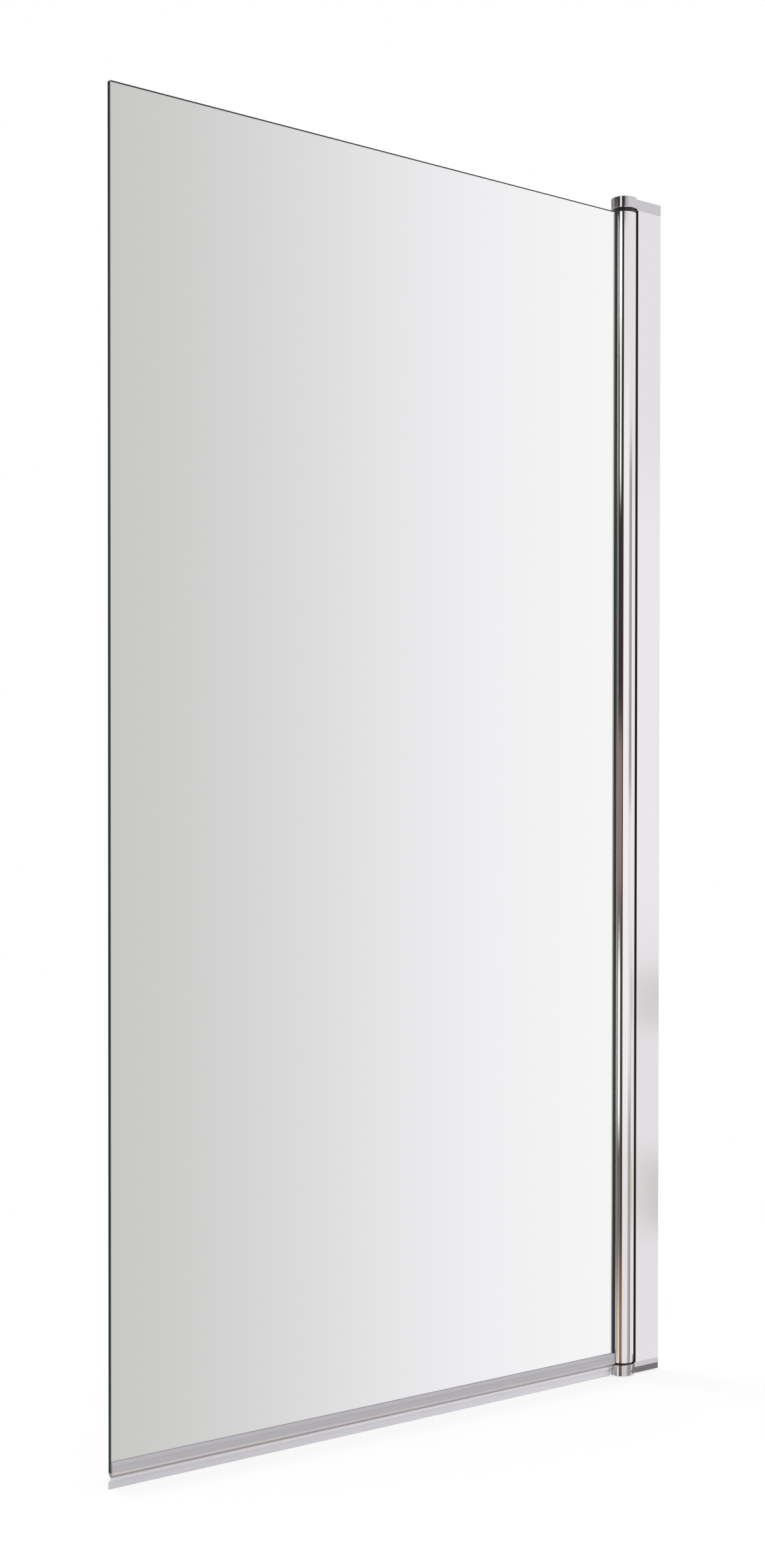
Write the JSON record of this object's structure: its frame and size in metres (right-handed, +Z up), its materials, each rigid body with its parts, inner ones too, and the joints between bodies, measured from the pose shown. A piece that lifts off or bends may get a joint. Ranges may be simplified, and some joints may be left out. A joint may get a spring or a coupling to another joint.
{
  "type": "bath screen",
  "caption": "Pivoting bath screen: a clear glass panel in a round polished tube that swings between end caps on a flat wall post, with a soft clear seal under the glass.",
  "frame": {"origin": "on the wall plane, in the middle of the glass thickness, level with the underside of the bottom cap", "axes": "+X into the wall, with the glass reaching towards -X; +Y to the back of the screen; +Z up"},
  "size_m": [0.785, 0.0314, 1.431],
  "materials": {
    "polished_aluminium": "aluminium extrusion polished bright",
    "cap_chrome": "die-cast, chrome plated",
    "mill_aluminium": "mill finish",
    "screw_steel": "stainless, plain",
    "pin_steel": "stainless, ground",
    "cover_plastic": "moulded, bright grey",
    "black_acetal": "moulded acetal, satin",
    "black_rubber": "extruded, matte",
    "gasket_rubber": "extruded, matte black",
    "block_plastic": "moulded nylon",
    "clear_glass": "5 mm clear float, toughened, arrised edges",
    "clear_pvc": "clear soft PVC extrusion, faint lilac grey"
  },
  "bodies": {
    "wall_channel": {"wall_channel": "mill_aluminium", "adjuster_screws": "screw_steel", "adjuster_washers": "screw_steel", "screw_cover_caps": "cover_plastic"},
    "post": {"post_profile": "polished_aluminium", "front_wiper_seal": "black_rubber", "back_wiper_seal": "black_rubber", "top_cap": "cap_chrome", "bottom_cap": "cap_chrome", "top_cap_screws": "screw_steel", "bottom_cap_screws": "screw_steel", "top_pivot_pin": "pin_steel", "bottom_pivot_pin": "pin_steel", "top_thrust_washer": "black_acetal", "bottom_thrust_washer": "black_acetal"},
    "leaf": {"pivot_tube": "polished_aluminium", "glass_panel": "clear_glass", "front_glazing_gasket": "gasket_rubber", "back_glazing_gasket": "gasket_rubber", "glass_edge_blocks": "block_plastic", "top_bush": "black_acetal", "bottom_bush": "black_acetal", "top_bush_screws": "screw_steel", "bottom_bush_screws": "screw_steel", "bottom_seal": "clear_pvc"}
  },
  "joints": [
    {"name": "wall_adjustment", "type": "slide", "parent": "wall_channel", "child": "post", "axis": [-1, 0, 0], "range_m": [0, 0.015]},
    {"name": "screen_swing", "type": "hinge", "parent": "post", "child": "leaf", "pos_m": [-0.0534, 0, 0.715], "axis": [0, 0, 1], "range_deg": [-90, 90]}
  ]
}
